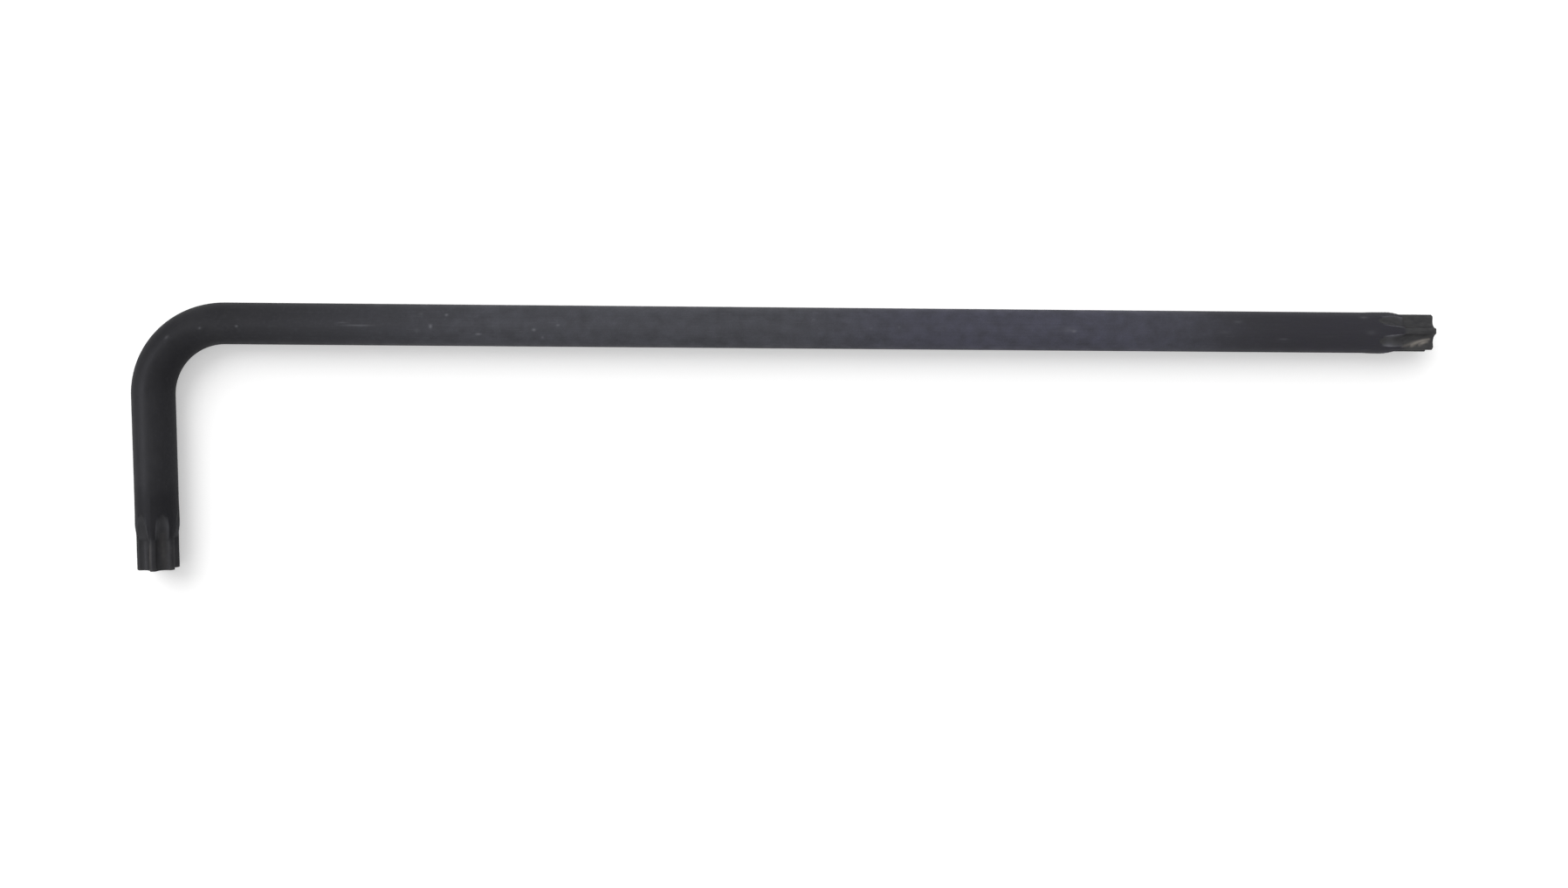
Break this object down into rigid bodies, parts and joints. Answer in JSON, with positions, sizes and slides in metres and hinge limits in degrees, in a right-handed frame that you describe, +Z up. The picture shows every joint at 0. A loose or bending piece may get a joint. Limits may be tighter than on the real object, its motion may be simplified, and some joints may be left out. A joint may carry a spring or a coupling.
{
  "type": "star key",
  "caption": "L-shaped long-arm star key of round black-finished steel bar, with a six-lobed star forged on both ends for turning star-recess screws.",
  "frame": {"origin": "under the middle of the key's box, on the surface that the key lies on", "axes": "+X along the long arm towards its star, +Y away from the short arm's star, +Z up from the surface that the key lies on"},
  "size_m": [0.177, 0.0362, 0.0058],
  "materials": {
    "black_oxide_bar": "black oxide on drawn alloy steel, satin, with faint lengthwise drawing lines",
    "worn_star": "black oxide on forged alloy steel, satin, worn to bare bronze-grey steel on lobe edges"
  },
  "bodies": {
    "root": {"long_arm": "black_oxide_bar", "bend": "black_oxide_bar", "short_arm": "black_oxide_bar", "long_arm_neck": "black_oxide_bar", "long_arm_star_tip": "worn_star", "short_arm_neck": "black_oxide_bar", "short_arm_star_tip": "worn_star"}
  },
  "joints": []
}
